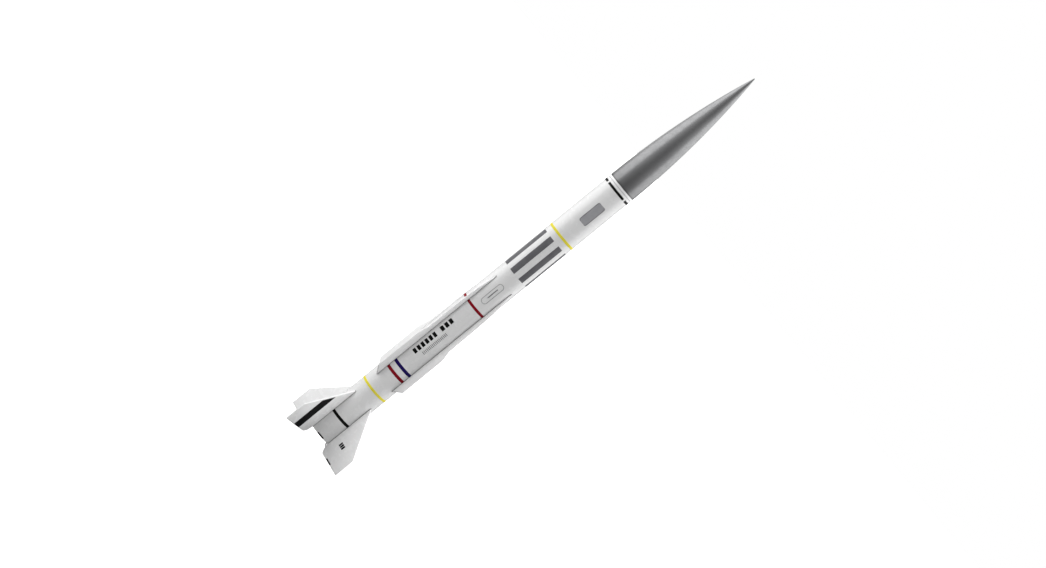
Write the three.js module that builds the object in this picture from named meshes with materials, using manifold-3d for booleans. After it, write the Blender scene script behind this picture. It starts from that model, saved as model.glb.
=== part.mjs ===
// A flying model rocket: paper body tube, moulded nose cone, four fins, four strakes,
// a motor mount with a spring hook, and the recovery gear packed inside the tube.
// Millimetres, +Z up. The origin lies on the rocket's axis, on the floor that the four
// fins' flat trailing edges stand on.

import * as THREE from 'three';
import { mergeVertices } from 'three/addons/utils/BufferGeometryUtils.js';
import Module from 'manifold-3d';

const wasm = await Module();
wasm.setup();

// ---- Driving dimensions ----------------------------------------------------------

const GAP = 0.3; // between pieces that touch or are glued together
const ROUND = 48; // facets round the body tube and what is coaxial with it
const FINE = 24; // facets round small pieces

const TUBE_R = 20.8; // outside radius of the body tube
const TUBE_WALL = 0.55;
const TUBE_AFT = 12; // height of the tube's aft end
const NOSE_BASE = 494; // height where the nose cone meets the tube

const NOSE_LENGTH = 208; // from its base to its tip
const NOSE_TIP_R = 0.8;
const NOSE_WALL = 1.5;
const SHOULDER_LENGTH = 48;
const PLUG_THICK = 2;
const EYELET_R = 4.6; // to the middle of the eyelet's bar
const EYELET_BAR = 1.3;
const EYELET_DEPTH = 0.8; // how deep the eyelet's ends sink into the plug

const FIN_COUNT = 4;
const SHEET_THICK = 2.4; // the sheet that fins and strakes are cut from
const FIN_SPAN_R = 66; // from the axis to the tip edge
const FIN_ROOT_FORE = 82.2;
const FIN_TIP_FORE = 27.7;
const FIN_HEEL_R = 28.5; // where the trailing edge turns up towards the tube
const FIN_HEEL_CURVE = 1.6; // how far off the root the heel's curve is drawn out

const STRAKE_AFT = 115.2;
const STRAKE_FORE = 307.2;
// The strakes' outer edge: distance from the axis, and height above their aft end.
const STRAKE_EDGE = [[33, 11], [33, 74], [28.8, 88], [28, 131], [27, 156], [25.5, 171]];

const MOTOR_BORE = 12.05; // radius, for a motor of 24 mm
const MOTOR_TUBE_R = 12.45;
const MOTOR_TUBE_AFT = 18;
const MOTOR_TUBE_FORE = 113;
const MOTOR_LENGTH = 70; // from the hook's heel to its fore tab
const THRUST_BORE = 10.6;
const THRUST_LENGTH = 5;
const RING_THICK = 4.5;
const RING_AFT = 24;
const RING_FORE = 104;
const RING_SLOT_REACH = 17; // how far from the axis the rings' slots go
const CORD_SLOT_WIDTH = 4.6;

const HOOK_WIDTH = 3.2;
const HOOK_STEEL = 0.6;
const HOOK_BEND = 49; // height where the hook's free arm bends
const HOOK_TAB_R = 9; // inner side of the finger tab
const HOOK_TAB_END = 12.5;
const HOOK_FORE_REACH = 1.2; // how far the fore tab reaches into the motor's bore
const HOOK_BAND = { low: 52, high: 60, thick: 0.4 };

const LUG_R = 3;
const LUG_BORE = 2.6;
const LUG_LENGTH = 44;
const LUG_HEIGHTS = { aft: 50, fore: 330 };

const CORD_R = 1.5;
const CORD_TIE = { radius: 16.6, low: 99.5, high: 102.5 };
const CHUTE_R = 12.5;
const CHUTE_ROUND = 1.5; // chamfer on the roll's ends
const CHUTE_AFT = 300;
const CHUTE_FORE = 410;
const CHUTE_OFFSET = -3; // the packed chute lies beside the cord
const LINE_WRAP = { low: 346, high: 370, thick: 0.9 };
const LINE_RUN_R = 1.2;

const FILM_IN = 20.85; // radii of the printed films on the tube
const FILM_OUT = 20.98;

const FRONT = -Math.PI / 2; // azimuth of the side that faces forward, -Y
const DEG = Math.PI / 180;
const PRINT_TURN = 1.5 * DEG; // the wrap with stripes and hatch sits this far off the front
const DASH_TURN = -9.5 * DEG; // the first dash's middle, from the front
const BLACK_AFT = { middle: 45.4, width: 3.8 };
const YELLOW_AFT = { middle: 99.5, width: 3.3 };
const RED_AFT = { middle: 133.4, width: 4 };
const BLUE = { middle: 144.9, width: 4.2 };
const RED_FORE = { middle: 261.2, width: 3.6 };
const YELLOW_FORE = { middle: 398.7, width: 3.4 };
const STRIPE = { count: 8, angle: 22.5 * DEG, low: 325.4, high: 388.9 };
const DASH = { count: 4, angle: 82 * DEG, low: 484.1, high: 487.3 };
const HATCH = { angle: 33.5 * DEG, low: 429.1, high: 461.6 };

// ---- Colours and finishes --------------------------------------------------------

const finish = (color, roughness, metalness) => () =>
  new THREE.MeshStandardMaterial({ color, roughness, metalness });
const gloss_white = finish(0xf2f2f2, 0.25, 0);
const silver = finish(0xa8a8aa, 0.35, 0.3);
const kraft = finish(0xa98a62, 0.9, 0);
const balsa = finish(0xcdb58a, 0.85, 0);
const spring_steel = finish(0x9a9a9a, 0.35, 0.9);
const elastic = finish(0xe6e2d6, 0.9, 0);
const chute_film = finish(0xd9531e, 0.4, 0);
const line_thread = finish(0xeeeeee, 0.8, 0);
const black_film = finish(0x0c0c0c, 0.4, 0);
const yellow_film = finish(0xd7cd3c, 0.4, 0);
const red_film = finish(0x7d0816, 0.4, 0);
const blue_film = finish(0x1c0c5a, 0.4, 0);
const grey_film = finish(0x64646a, 0.4, 0);
const pale_grey_film = finish(0x9b9ba0, 0.4, 0);

// ---- Helpers ---------------------------------------------------------------------

const rocket = new THREE.Group();

/** Adds a geometry to the rocket as a named piece. */
function piece(name, geometry, material) {
  const mesh = new THREE.Mesh(geometry, material());
  mesh.name = name;
  rocket.add(mesh);
  return mesh;
}

/** A solid of revolution about Z from [radius, height] points. */
function turned(profile, segments = ROUND) {
  const points = profile.map(([radius, height]) => new THREE.Vector2(radius, height));
  return new THREE.LatheGeometry(points, segments).rotateX(Math.PI / 2);
}

/** A straight sleeve about Z. */
function sleeve(inner, outer, low, high, segments = ROUND) {
  const section = [[inner, low], [outer, low], [outer, high], [inner, high], [inner, low]];
  return turned(section, segments);
}

/** A flat plate with an outline in (radius, height), standing in the plane of an azimuth. */
function radialPlate(outline, thickness, azimuth) {
  const plate = new THREE.ExtrudeGeometry(outline, {
    depth: thickness,
    bevelEnabled: false,
    curveSegments: 8,
  });
  plate.translate(0, 0, -thickness / 2);
  plate.rotateX(Math.PI / 2);
  return plate.rotateZ(azimuth);
}

/** An outline of straight sides. */
function polygon(points) {
  return new THREE.Shape(points.map(([x, y]) => new THREE.Vector2(x, y)));
}

/** A thin film that lies round part of the body tube. */
function film(azimuth, angle, low, high) {
  const steps = Math.ceil(angle / (6 * DEG));
  const box = new THREE.BoxGeometry(1, 1, 1, steps, 1, 1);
  const place = box.attributes.position;
  for (let i = 0; i < place.count; i += 1) {
    const around = azimuth - place.getX(i) * angle;
    const radius = place.getY(i) < 0 ? FILM_IN : FILM_OUT;
    const height = place.getZ(i) < 0 ? low : high;
    place.setXYZ(i, radius * Math.cos(around), radius * Math.sin(around), height);
  }
  return box;
}

/** A round cord along a smooth curve through points. */
function cord(points, radius, steps) {
  const path = new THREE.CatmullRomCurve3(points.map((p) => new THREE.Vector3(...p)));
  const section = new THREE.Shape().absarc(0, 0, radius, 0, 2 * Math.PI);
  return new THREE.ExtrudeGeometry(section, { steps, curveSegments: 4, extrudePath: path });
}

/** Turns a closed geometry into a solid that can be cut and joined. */
function solid(geometry) {
  const bare = geometry.clone();
  bare.deleteAttribute('normal');
  bare.deleteAttribute('uv');
  const merged = mergeVertices(bare, 1e-4);
  return new wasm.Manifold(new wasm.Mesh({
    numProp: 3,
    vertProperties: new Float32Array(merged.attributes.position.array),
    triVerts: new Uint32Array(merged.index.array),
  }));
}

/** Turns a solid back into a geometry. */
function geometryOf(body) {
  const mesh = body.getMesh();
  const geometry = new THREE.BufferGeometry();
  geometry.setAttribute('position', new THREE.BufferAttribute(mesh.vertProperties, 3));
  geometry.setIndex(new THREE.BufferAttribute(mesh.triVerts, 1));
  geometry.computeVertexNormals();
  return geometry;
}

/** A block in the plane of an azimuth, between two radii and two heights. */
function block(width, near, far, low, high, azimuth) {
  const box = new THREE.BoxGeometry(far - near, width, high - low);
  box.translate((near + far) / 2, 0, (low + high) / 2);
  return box.rotateZ(azimuth);
}

/** One geometry with others cut away. */
function cut(geometry, ...tools) {
  const rest = tools.reduce((body, tool) => body.subtract(solid(tool)), solid(geometry));
  return geometryOf(rest);
}

/** Azimuth of fin or strake number i, on the diagonals. */
function finAzimuth(i) {
  return Math.PI / 4 + (i * 2 * Math.PI) / FIN_COUNT;
}

// ---- Airframe --------------------------------------------------------------------

function bodyTube() {
  piece(
    'body_tube',
    sleeve(TUBE_R - TUBE_WALL, TUBE_R, TUBE_AFT, NOSE_BASE - GAP / 2),
    gloss_white,
  );
}

function fins() {
  const root = TUBE_R + GAP;
  for (let i = 0; i < FIN_COUNT; i += 1) {
    const outline = new THREE.Shape();
    outline.moveTo(root, FIN_ROOT_FORE);
    outline.lineTo(root, TUBE_AFT - 1);
    outline.quadraticCurveTo(root + FIN_HEEL_CURVE, 0, FIN_HEEL_R, 0);
    outline.lineTo(FIN_SPAN_R, 0);
    outline.lineTo(FIN_SPAN_R, FIN_TIP_FORE);
    outline.closePath();
    piece(`fin_${i + 1}`, radialPlate(outline, SHEET_THICK, finAzimuth(i)), gloss_white);
  }
}

function strakes() {
  const root = TUBE_R + GAP;
  const edge = STRAKE_EDGE.map(([radius, rise]) => [radius, STRAKE_AFT + rise]);
  const outline = polygon([[root, STRAKE_AFT], ...edge, [root, STRAKE_FORE]]);
  for (let i = 0; i < FIN_COUNT; i += 1) {
    const plate = radialPlate(outline, SHEET_THICK, finAzimuth(i));
    piece(`strake_${i + 1}`, plate, gloss_white);
  }
}

function launchLugs() {
  for (const [end, low] of Object.entries(LUG_HEIGHTS)) {
    const lug = sleeve(LUG_BORE, LUG_R, low, low + LUG_LENGTH, FINE);
    lug.translate(0, TUBE_R + GAP + LUG_R, 0);
    piece(`launch_lug_${end}`, lug, gloss_white);
  }
}

// ---- Nose cone -------------------------------------------------------------------

/** The nose cone: a hollow tangent ogive with a rounded tip, and its shoulder. */
function noseCone() {
  const reach = NOSE_LENGTH - NOSE_TIP_R;
  const arc = (TUBE_R ** 2 - NOSE_TIP_R ** 2 + reach ** 2) / (2 * (TUBE_R - NOSE_TIP_R));
  const base = NOSE_BASE + GAP / 2;
  const shoulderR = TUBE_R - TUBE_WALL - GAP;
  const open = NOSE_BASE - SHOULDER_LENGTH;
  const innerArc = arc - NOSE_WALL;
  const innerEnd = Math.sqrt(innerArc ** 2 - (arc - TUBE_R) ** 2) - 0.5;
  const outline = [[shoulderR - NOSE_WALL, open], [shoulderR, open], [shoulderR, base]];
  const stations = 14;
  for (let i = 0; i <= stations; i += 1) {
    const along = reach * Math.sin((i / stations) * (Math.PI / 2));
    const radius = Math.sqrt(arc ** 2 - along ** 2) + TUBE_R - arc;
    outline.push([radius, NOSE_BASE + Math.max(along, GAP / 2)]);
  }
  outline.push([NOSE_TIP_R * 0.6, NOSE_BASE + NOSE_LENGTH - NOSE_TIP_R * 0.2]);
  outline.push([0, NOSE_BASE + NOSE_LENGTH]);
  outline.push([0, NOSE_BASE + innerEnd + 0.5]);
  const innerStations = 8;
  for (let i = innerStations; i >= 0; i -= 1) {
    const along = innerEnd * Math.sin((i / innerStations) * (Math.PI / 2));
    const radius = Math.sqrt(innerArc ** 2 - along ** 2) + TUBE_R - arc;
    outline.push([Math.min(radius, shoulderR - NOSE_WALL), NOSE_BASE + along]);
  }
  outline.push([shoulderR - NOSE_WALL, open]);
  piece('nose_cone', turned(outline), silver);
}

/** The plug that closes the shoulder, with the eyelet that the cord and lines tie to. */
function nosePlug() {
  const open = NOSE_BASE - SHOULDER_LENGTH;
  const plugR = TUBE_R - TUBE_WALL - GAP - NOSE_WALL - GAP;
  const disc = turned([[0, open], [plugR, open], [plugR, open + PLUG_THICK], [0, open + PLUG_THICK]]);
  const loopHeight = open + EYELET_DEPTH;
  const loop = new THREE.TorusGeometry(EYELET_R, EYELET_BAR, 8, 20);
  loop.rotateY(Math.PI / 2);
  loop.translate(0, 0, loopHeight);
  const above = block(2 * TUBE_R, -TUBE_R, TUBE_R, loopHeight, loopHeight + TUBE_R, 0);
  const half = solid(loop).subtract(solid(above));
  piece('nose_plug', geometryOf(solid(disc).add(half)), silver);
}

// ---- Motor mount -----------------------------------------------------------------

function motorMount() {
  const tabHeight = MOTOR_TUBE_AFT + MOTOR_LENGTH;
  const tube = sleeve(MOTOR_BORE, MOTOR_TUBE_R, MOTOR_TUBE_AFT, MOTOR_TUBE_FORE);
  const slit = block(
    HOOK_WIDTH + 2 * GAP,
    MOTOR_BORE - 2,
    MOTOR_TUBE_R + 1,
    tabHeight - GAP,
    tabHeight + HOOK_STEEL + GAP,
    FRONT,
  );
  piece('motor_tube', cut(tube, slit), kraft);

  const seat = tabHeight + HOOK_STEEL + GAP;
  piece('thrust_ring', sleeve(THRUST_BORE, MOTOR_BORE - GAP, seat, seat + THRUST_LENGTH), kraft);

  centeringRing('aft', RING_AFT, HOOK_WIDTH + 2, FRONT);
  centeringRing('fore', RING_FORE, CORD_SLOT_WIDTH, -FRONT);
}

/** A ring between the motor tube and the body tube, with a slot in its bore. */
function centeringRing(end, low, slotWidth, slotAzimuth) {
  const bore = MOTOR_TUBE_R + GAP;
  const rim = TUBE_R - TUBE_WALL - GAP;
  const high = low + RING_THICK;
  const slot = block(slotWidth, bore - 2, RING_SLOT_REACH, low - 1, high + 1, slotAzimuth);
  piece(`centering_ring_${end}`, cut(sleeve(bore, rim, low, high), slot), balsa);
}

/** The spring-steel hook: a fixed strip, a free arm that bends, and the band round them. */
function engineHook() {
  const inner = MOTOR_TUBE_R + GAP;
  const outer = inner + HOOK_STEEL;
  const heel = MOTOR_TUBE_AFT - 0.5;
  const tabHeight = MOTOR_TUBE_AFT + MOTOR_LENGTH;
  const fixed = polygon([
    [inner, HOOK_BEND + GAP / 2],
    [outer, HOOK_BEND + GAP / 2],
    [outer, tabHeight + HOOK_STEEL],
    [MOTOR_BORE - HOOK_FORE_REACH, tabHeight + HOOK_STEEL],
    [MOTOR_BORE - HOOK_FORE_REACH, tabHeight],
    [inner, tabHeight],
  ]);
  piece('engine_hook_strip', radialPlate(fixed, HOOK_WIDTH, FRONT), spring_steel);
  const arm = polygon([
    [inner, HOOK_BEND - GAP / 2],
    [inner, heel],
    [HOOK_TAB_R, heel],
    [HOOK_TAB_R, HOOK_TAB_END],
    [HOOK_TAB_R + HOOK_STEEL, HOOK_TAB_END],
    [HOOK_TAB_R + HOOK_STEEL, heel - HOOK_STEEL],
    [outer, heel - HOOK_STEEL],
    [outer, HOOK_BEND - GAP / 2],
  ]);
  piece('engine_hook_arm', radialPlate(arm, HOOK_WIDTH, FRONT), spring_steel);
  const bore = outer + GAP;
  const wrap = sleeve(bore, bore + HOOK_BAND.thick, HOOK_BAND.low, HOOK_BAND.high, FINE);
  piece('hook_band', wrap, kraft);
}

// ---- Recovery gear ---------------------------------------------------------------

/** The elastic shock cord, from the motor mount up the tube's back wall to the eyelet. */
function shockCord() {
  const tieBore = MOTOR_TUBE_R + GAP;
  const tie = sleeve(tieBore, CORD_TIE.radius, CORD_TIE.low, CORD_TIE.high, FINE);
  piece('cord_tie', tie, elastic);
  const route = [
    [0, 14.9, 102.8],
    [0, 15.4, 113],
    [-6, 16.2, 124],
    [-11, 13.4, 136],
    [-6, 16.2, 148],
    [6, 16.2, 158],
    [11, 13.4, 170],
    [6, 16.2, 182],
    [-6, 16.2, 192],
    [-11, 13.4, 204],
    [-6, 16.2, 216],
    [6, 16.2, 226],
    [11, 13.4, 238],
    [6, 16.2, 250],
    [-4, 16.8, 262],
    [-2, 17, 280],
    [2, 16.8, 310],
    [-2, 16.8, 345],
    [2, 16.8, 380],
    [0, 16.4, 406],
    [0, 12, 420],
    [0, 5.5, 429],
    [0, 2.4, 439.6],
  ];
  piece('shock_cord', cord(route, CORD_R, 80), elastic);
}

/** The packed parachute, its lines wound round it, and their run to the eyelet. */
function parachute() {
  const roll = turned([
    [0, CHUTE_AFT],
    [CHUTE_R - CHUTE_ROUND, CHUTE_AFT],
    [CHUTE_R, CHUTE_AFT + CHUTE_ROUND],
    [CHUTE_R, CHUTE_FORE - CHUTE_ROUND],
    [CHUTE_R - CHUTE_ROUND, CHUTE_FORE],
    [0, CHUTE_FORE],
  ], FINE);
  piece('parachute_roll', roll.translate(0, CHUTE_OFFSET, 0), chute_film);
  const wrapIn = CHUTE_R + GAP;
  const wrap = sleeve(wrapIn, wrapIn + LINE_WRAP.thick, LINE_WRAP.low, LINE_WRAP.high, FINE);
  piece('shroud_line_wrap', wrap.translate(0, CHUTE_OFFSET, 0), line_thread);
  const run = [
    [0, CHUTE_OFFSET, CHUTE_FORE + GAP],
    [0, CHUTE_OFFSET - 3, 420],
    [0, CHUTE_OFFSET - 2.5, 430],
    [0, CHUTE_OFFSET + 0.4, 439.6],
  ];
  piece('shroud_line_run', cord(run, LINE_RUN_R, 12), line_thread);
}

// ---- Films on the tube -----------------------------------------------------------

function band(name, { middle, width }, material) {
  const ring = sleeve(FILM_IN, FILM_OUT, middle - width / 2, middle + width / 2);
  piece(name, ring, material);
}

function bands() {
  band('band_black_aft', BLACK_AFT, black_film);
  band('band_yellow_aft', YELLOW_AFT, yellow_film);
  band('band_red_aft', RED_AFT, red_film);
  band('band_blue', BLUE, blue_film);
  band('band_red_fore', RED_FORE, red_film);
  band('band_yellow_fore', YELLOW_FORE, yellow_film);
}

function panelStripes() {
  const spacing = (2 * Math.PI) / STRIPE.count;
  for (let i = 0; i < STRIPE.count; i += 1) {
    const azimuth = PRINT_TURN + (i + 0.5) * spacing;
    const stripe = film(azimuth, STRIPE.angle, STRIPE.low, STRIPE.high);
    piece(`panel_stripe_${i + 1}`, stripe, grey_film);
  }
}

function dashes() {
  for (let i = 0; i < DASH.count; i += 1) {
    const azimuth = FRONT + DASH_TURN + (i * 2 * Math.PI) / DASH.count;
    piece(`dash_${i + 1}`, film(azimuth, DASH.angle, DASH.low, DASH.high), black_film);
  }
}

function hatch() {
  const patch = film(FRONT + PRINT_TURN, HATCH.angle, HATCH.low, HATCH.high);
  piece('hatch_film', patch, pale_grey_film);
}

bodyTube();
noseCone();
nosePlug();
fins();
strakes();
launchLugs();
motorMount();
engineHook();
shockCord();
parachute();
bands();
panelStripes();
dashes();
hatch();

export default rocket;
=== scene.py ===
"""A flying model rocket standing on its fins: the looks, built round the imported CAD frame.

Everything is in metres in the row frame. +Z runs up the rocket's axis, and -Y is the front.
"""

import math
from contextlib import contextmanager

import bmesh
import bpy
from mathutils import Matrix, Vector
from mathutils.noise import noise


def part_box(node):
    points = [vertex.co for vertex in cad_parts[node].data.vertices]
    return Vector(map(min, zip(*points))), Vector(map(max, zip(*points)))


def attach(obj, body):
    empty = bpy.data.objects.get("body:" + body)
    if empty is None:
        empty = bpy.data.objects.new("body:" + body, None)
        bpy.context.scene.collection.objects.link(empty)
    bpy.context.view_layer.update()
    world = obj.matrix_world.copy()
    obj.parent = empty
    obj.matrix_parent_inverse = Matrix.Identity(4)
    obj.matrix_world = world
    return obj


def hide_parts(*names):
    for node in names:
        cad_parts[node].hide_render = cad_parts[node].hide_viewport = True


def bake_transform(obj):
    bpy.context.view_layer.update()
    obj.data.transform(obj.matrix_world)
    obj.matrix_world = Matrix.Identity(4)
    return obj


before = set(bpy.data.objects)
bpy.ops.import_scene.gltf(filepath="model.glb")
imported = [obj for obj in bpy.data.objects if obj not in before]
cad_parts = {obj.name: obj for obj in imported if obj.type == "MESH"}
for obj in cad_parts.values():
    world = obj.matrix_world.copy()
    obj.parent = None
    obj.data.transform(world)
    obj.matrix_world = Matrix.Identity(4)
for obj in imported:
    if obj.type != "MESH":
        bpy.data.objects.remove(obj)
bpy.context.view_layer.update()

MM = 0.001
FRONT = -math.pi / 2
DIAGONALS = [math.pi / 4 + i * math.pi / 2 for i in range(4)]
PRINT_TURN = math.radians(1.5)  # the wrap with stripes and hatch sits this far off the front
STRIPE_SPAN = math.radians(22.5)
HATCH_SPAN = math.radians(33.5)
DASH_TURN = math.radians(-9.5)
DASH_SPAN = math.radians(82)
SHEET = 2.4 * MM  # the sheet that fins and strakes are cut from
EDGE_ROUND = 0.42 * SHEET
SHARP_ANGLE = math.radians(35)  # edges that turn more than this are drawn sharp
BEVEL_ANGLE = math.radians(40)  # edges that turn more than this can be rounded
FIN_SPAN = 66 * MM  # from the axis to the tip edge
FIN_ROOT_FORE = 82.2 * MM
FIN_TIP_FORE = 27.7 * MM
FIN_HEEL = 28.5 * MM  # from the axis to where the trailing edge becomes level
STRAKE_AFT, STRAKE_FORE = 115.2 * MM, 307.2 * MM
PAPER_WALL = 0.4 * MM  # wall of the lugs, the motor tube and the band round the hook
HOOK_THICK = 0.3 * MM  # from the hook's middle line to each face
CANOPY_ACROSS = 0.457  # width of the flat canopy, a hexagon
HEXAGON = 0.866  # a hexagon's area over the square of its width

# ---- Places taken from the frame ----

TUBE_LOW, TUBE_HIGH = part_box("body_tube")
TUBE_R = TUBE_HIGH.x
TUBE_WALL = 0.55 * MM
TUBE_AFT = TUBE_LOW.z
NOSE_BASE = TUBE_HIGH.z + 0.15 * MM
NOSE_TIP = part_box("nose_cone")[1].z
HOOK_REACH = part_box("motor_tube")[1].x + 0.6 * MM  # from the axis to the hook's middle line
BLADE_ROOT = TUBE_R + 0.3 * MM  # where the fins and strakes start
FILM_LOW = TUBE_R - 0.03 * MM
FILM_HIGH = TUBE_R + 0.09 * MM
INK_HIGH = TUBE_R + 0.13 * MM

# ---- Camera ----

CAMERA_SIDE = math.radians(-97.45)  # azimuth of the rocket's side that faces the camera
CAMERA_DISTANCE = 2.86858  # from the rocket's axis
CAMERA_ACROSS = 0.0155  # how far it stands to the right of that azimuth
CAMERA_HEIGHT = 0.58453
CAMERA_ROLL = math.radians(39.19)
CAMERA_TILT = math.radians(5.184)
CAMERA_LENS = 80.545  # millimetres, on a 36 mm sensor

# ---- Light ----

FLOOR_GLOW = 0.75  # light that the floor adds to what it reflects, for the camera only
FLOOR_BOUNCE = 0.12  # share of the light that the floor throws back on the rocket
FLOOR_SIZE = 30  # metres from the middle to an edge
DIM_LIGHT = 0.62  # light from straight in front of the rocket
SIDE_LIGHT = 1.85  # light from its sides and from behind it
DIM_TURN = math.radians(-1)  # the dim part of the room is turned a little from the front
DIM_EDGE = (math.radians(8), math.radians(62))  # off its middle, where brightening starts and ends
LEFT_POWER = 22  # watts
RIGHT_POWER = 16
BOX_PLACE = (1.7, 0.1, 0.6)  # the right soft box; the left one mirrors it
BOX_SIZE = (2.2, 1.8)
BOX_AIM = (0, 0, 0.35)


# ---- Mesh helpers ----


@contextmanager
def editing(mesh):
    """Opens a mesh for editing, and writes the changes back to it."""
    bm = bmesh.new()
    bm.from_mesh(mesh)
    yield bm
    bm.to_mesh(mesh)
    bm.free()


def new_object(name, data):
    obj = bpy.data.objects.new(name, data)
    bpy.context.scene.collection.objects.link(obj)
    return obj


def loose(name, solid):
    """A plain mesh object from (verts, faces), with its faces turned outward."""
    verts, faces = solid
    mesh = bpy.data.meshes.new(name)
    mesh.from_pydata([tuple(v) for v in verts], [], faces)
    mesh.validate()
    with editing(mesh) as bm:
        bmesh.ops.recalc_face_normals(bm, faces=bm.faces)
    return new_object(name, mesh)


def add_object(name, solid, look, body, *nodes, smooth=True):
    """A mesh object that rides on a body and stands for some CAD nodes."""
    obj = loose(name, solid)
    finish_object(obj, look, body, nodes, smooth)
    return obj


def finish_object(obj, look, body, nodes, smooth=True):
    """Gives an object its look's material, its body and the CAD nodes that it stands for."""
    material, slot = look
    obj.data.materials.clear()
    obj.data.materials.append(material)
    for polygon in obj.data.polygons:
        polygon.use_smooth = smooth
    if smooth:
        mark_sharp(obj)
    if body:
        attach(obj, body)
    if nodes:
        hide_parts(*nodes)


def mark_sharp(obj):
    """Draws the edges that turn far as sharp, and the others as smooth."""
    with editing(obj.data) as bm:
        for edge in bm.edges:
            if len(edge.link_faces) == 2:
                edge.smooth = edge.calc_face_angle(0) < SHARP_ANGLE


def revolve(profile, segments, bulge=None):
    """Vertices and faces of a solid of revolution from (radius, height) points.

    The profile runs round a closed section, or starts and ends on the axis. bulge, if given,
    adds to the radius as a function of azimuth and height.
    """
    verts, rings, faces = [], [], []
    for radius, height in profile:
        if radius < 1e-9:
            rings.append([len(verts)])
            verts.append((0, 0, height))
            continue
        ring = []
        for i in range(segments):
            around = 2 * math.pi * i / segments
            r = radius + (bulge(around, height) if bulge else 0)
            ring.append(len(verts))
            verts.append((r * math.cos(around), r * math.sin(around), height))
        rings.append(ring)
    pairs = list(zip(rings, rings[1:]))
    if len(rings[0]) > 1:
        pairs.append((rings[-1], rings[0]))
    for low, high in pairs:
        for i in range(segments):
            j = (i + 1) % segments
            if len(low) == 1:
                faces.append((low[0], high[j], high[i]))
            elif len(high) == 1:
                faces.append((low[i], low[j], high[0]))
            else:
                faces.append((low[i], low[j], high[j], high[i]))
    return verts, faces


def rounded_box(left, right, low, high, corner, steps=3):
    """Points round a rectangle with round corners, from its low left corner.

    Between two distances from the axis it is a sleeve's section, for revolve().
    """
    corners = [
        (left + corner, low + corner, math.pi),
        (right - corner, low + corner, 1.5 * math.pi),
        (right - corner, high - corner, 0),
        (left + corner, high - corner, 0.5 * math.pi),
    ]
    points = []
    for x, z, start in corners:
        for step in range(steps + 1):
            a = start + step / steps * math.pi / 2
            points.append((x + corner * math.cos(a), z + corner * math.sin(a)))
    return points


def ring_faces(first, second, count):
    """Faces between two rings of vertices, from where each ring starts."""
    faces = []
    for k in range(count):
        m = (k + 1) % count
        faces.append((first + k, first + m, second + m, second + k))
    return faces


def wrapped(columns, low_r=FILM_LOW, high_r=FILM_HIGH, middle=FRONT):
    """A film round the tube from (arc length, low height, high height) columns."""
    verts, faces = [], []
    for arc, low, high in columns:
        around = middle + arc / TUBE_R
        for radius, height in ((low_r, low), (low_r, high), (high_r, high), (high_r, low)):
            verts.append((radius * math.cos(around), radius * math.sin(around), height))
    last = 4 * (len(columns) - 1)
    for start in range(0, last, 4):
        faces += ring_faces(start, start + 4, 4)
    faces += [(0, 1, 2, 3), (last + 3, last + 2, last + 1, last)]
    return verts, faces


def rounded_columns(width, low, high, corner):
    """Columns of a rectangle with round corners, for wrapped()."""
    half, step = width / 2, 0.5 * MM
    inner = half - corner
    left = []
    for k in range(7 if corner > 0 else 1):
        a = k / 6 * math.pi / 2
        drop = corner * (1 - math.sin(a))
        left.append((-half + corner * (1 - math.cos(a)), low + drop, high - drop))
    count = max(1, round(2 * inner / step))
    middle = [(-inner + 2 * inner * k / count, low, high) for k in range(1, count)]
    right = [(-arc, a, b) for arc, a, b in reversed(left)]
    return left + middle + right


def ribbon_on_tube(path, width, middle):
    """A closed line of ink round the tube along (arc length, height) points."""
    verts, faces = [], []
    count = len(path)
    for i, (arc, height) in enumerate(path):
        before, after = path[i - 1], path[(i + 1) % count]
        dx, dz = after[0] - before[0], after[1] - before[1]
        length = math.hypot(dx, dz)
        nx, nz = -dz / length * width / 2, dx / length * width / 2
        corners = ((1, FILM_LOW), (1, INK_HIGH), (-1, INK_HIGH), (-1, FILM_LOW))
        for side, radius in corners:
            around = middle + (arc + side * nx) / TUBE_R
            at = height + side * nz
            verts.append((radius * math.cos(around), radius * math.sin(around), at))
    for i in range(count):
        faces += ring_faces(4 * i, 4 * ((i + 1) % count), 4)
    return verts, faces


def joined(parts):
    """Several (verts, faces) pairs as one."""
    verts, faces = [], []
    for part_verts, part_faces in parts:
        start = len(verts)
        verts.extend(part_verts)
        faces.extend(tuple(i + start for i in face) for face in part_faces)
    return verts, faces


def prism(verts):
    """A solid between two equal rings, which are the two halves of a list of vertices."""
    count = len(verts) // 2
    faces = [tuple(range(count)), tuple(reversed(range(count, 2 * count)))]
    for i in range(count):
        j = (i + 1) % count
        faces.append((i, i + count, j + count, j))
    return verts, faces


def slab(outline, thickness, place=Matrix()):
    """A flat slab with an outline in (x, z) and its thickness along Y, placed by a matrix."""
    sides = (-thickness / 2, thickness / 2)
    return prism([place @ Vector((x, y, z)) for y in sides for x, z in outline])


def rectangle(left, right, low, high):
    return [(left, low), (right, low), (right, high), (left, high)]


def apply_modifiers(obj):
    """Replaces an object's mesh with what its modifiers make of it."""
    depsgraph = bpy.context.evaluated_depsgraph_get()
    mesh = bpy.data.meshes.new_from_object(obj.evaluated_get(depsgraph))
    obj.modifiers.clear()
    obj.data = mesh


def combine(obj, tool, operation):
    """Joins a tool to an object or cuts it away, and removes the tool."""
    modifier = obj.modifiers.new("combine", "BOOLEAN")
    modifier.operation = operation
    modifier.solver = "EXACT"
    modifier.object = tool
    apply_modifiers(obj)
    bpy.data.objects.remove(tool)


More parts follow.
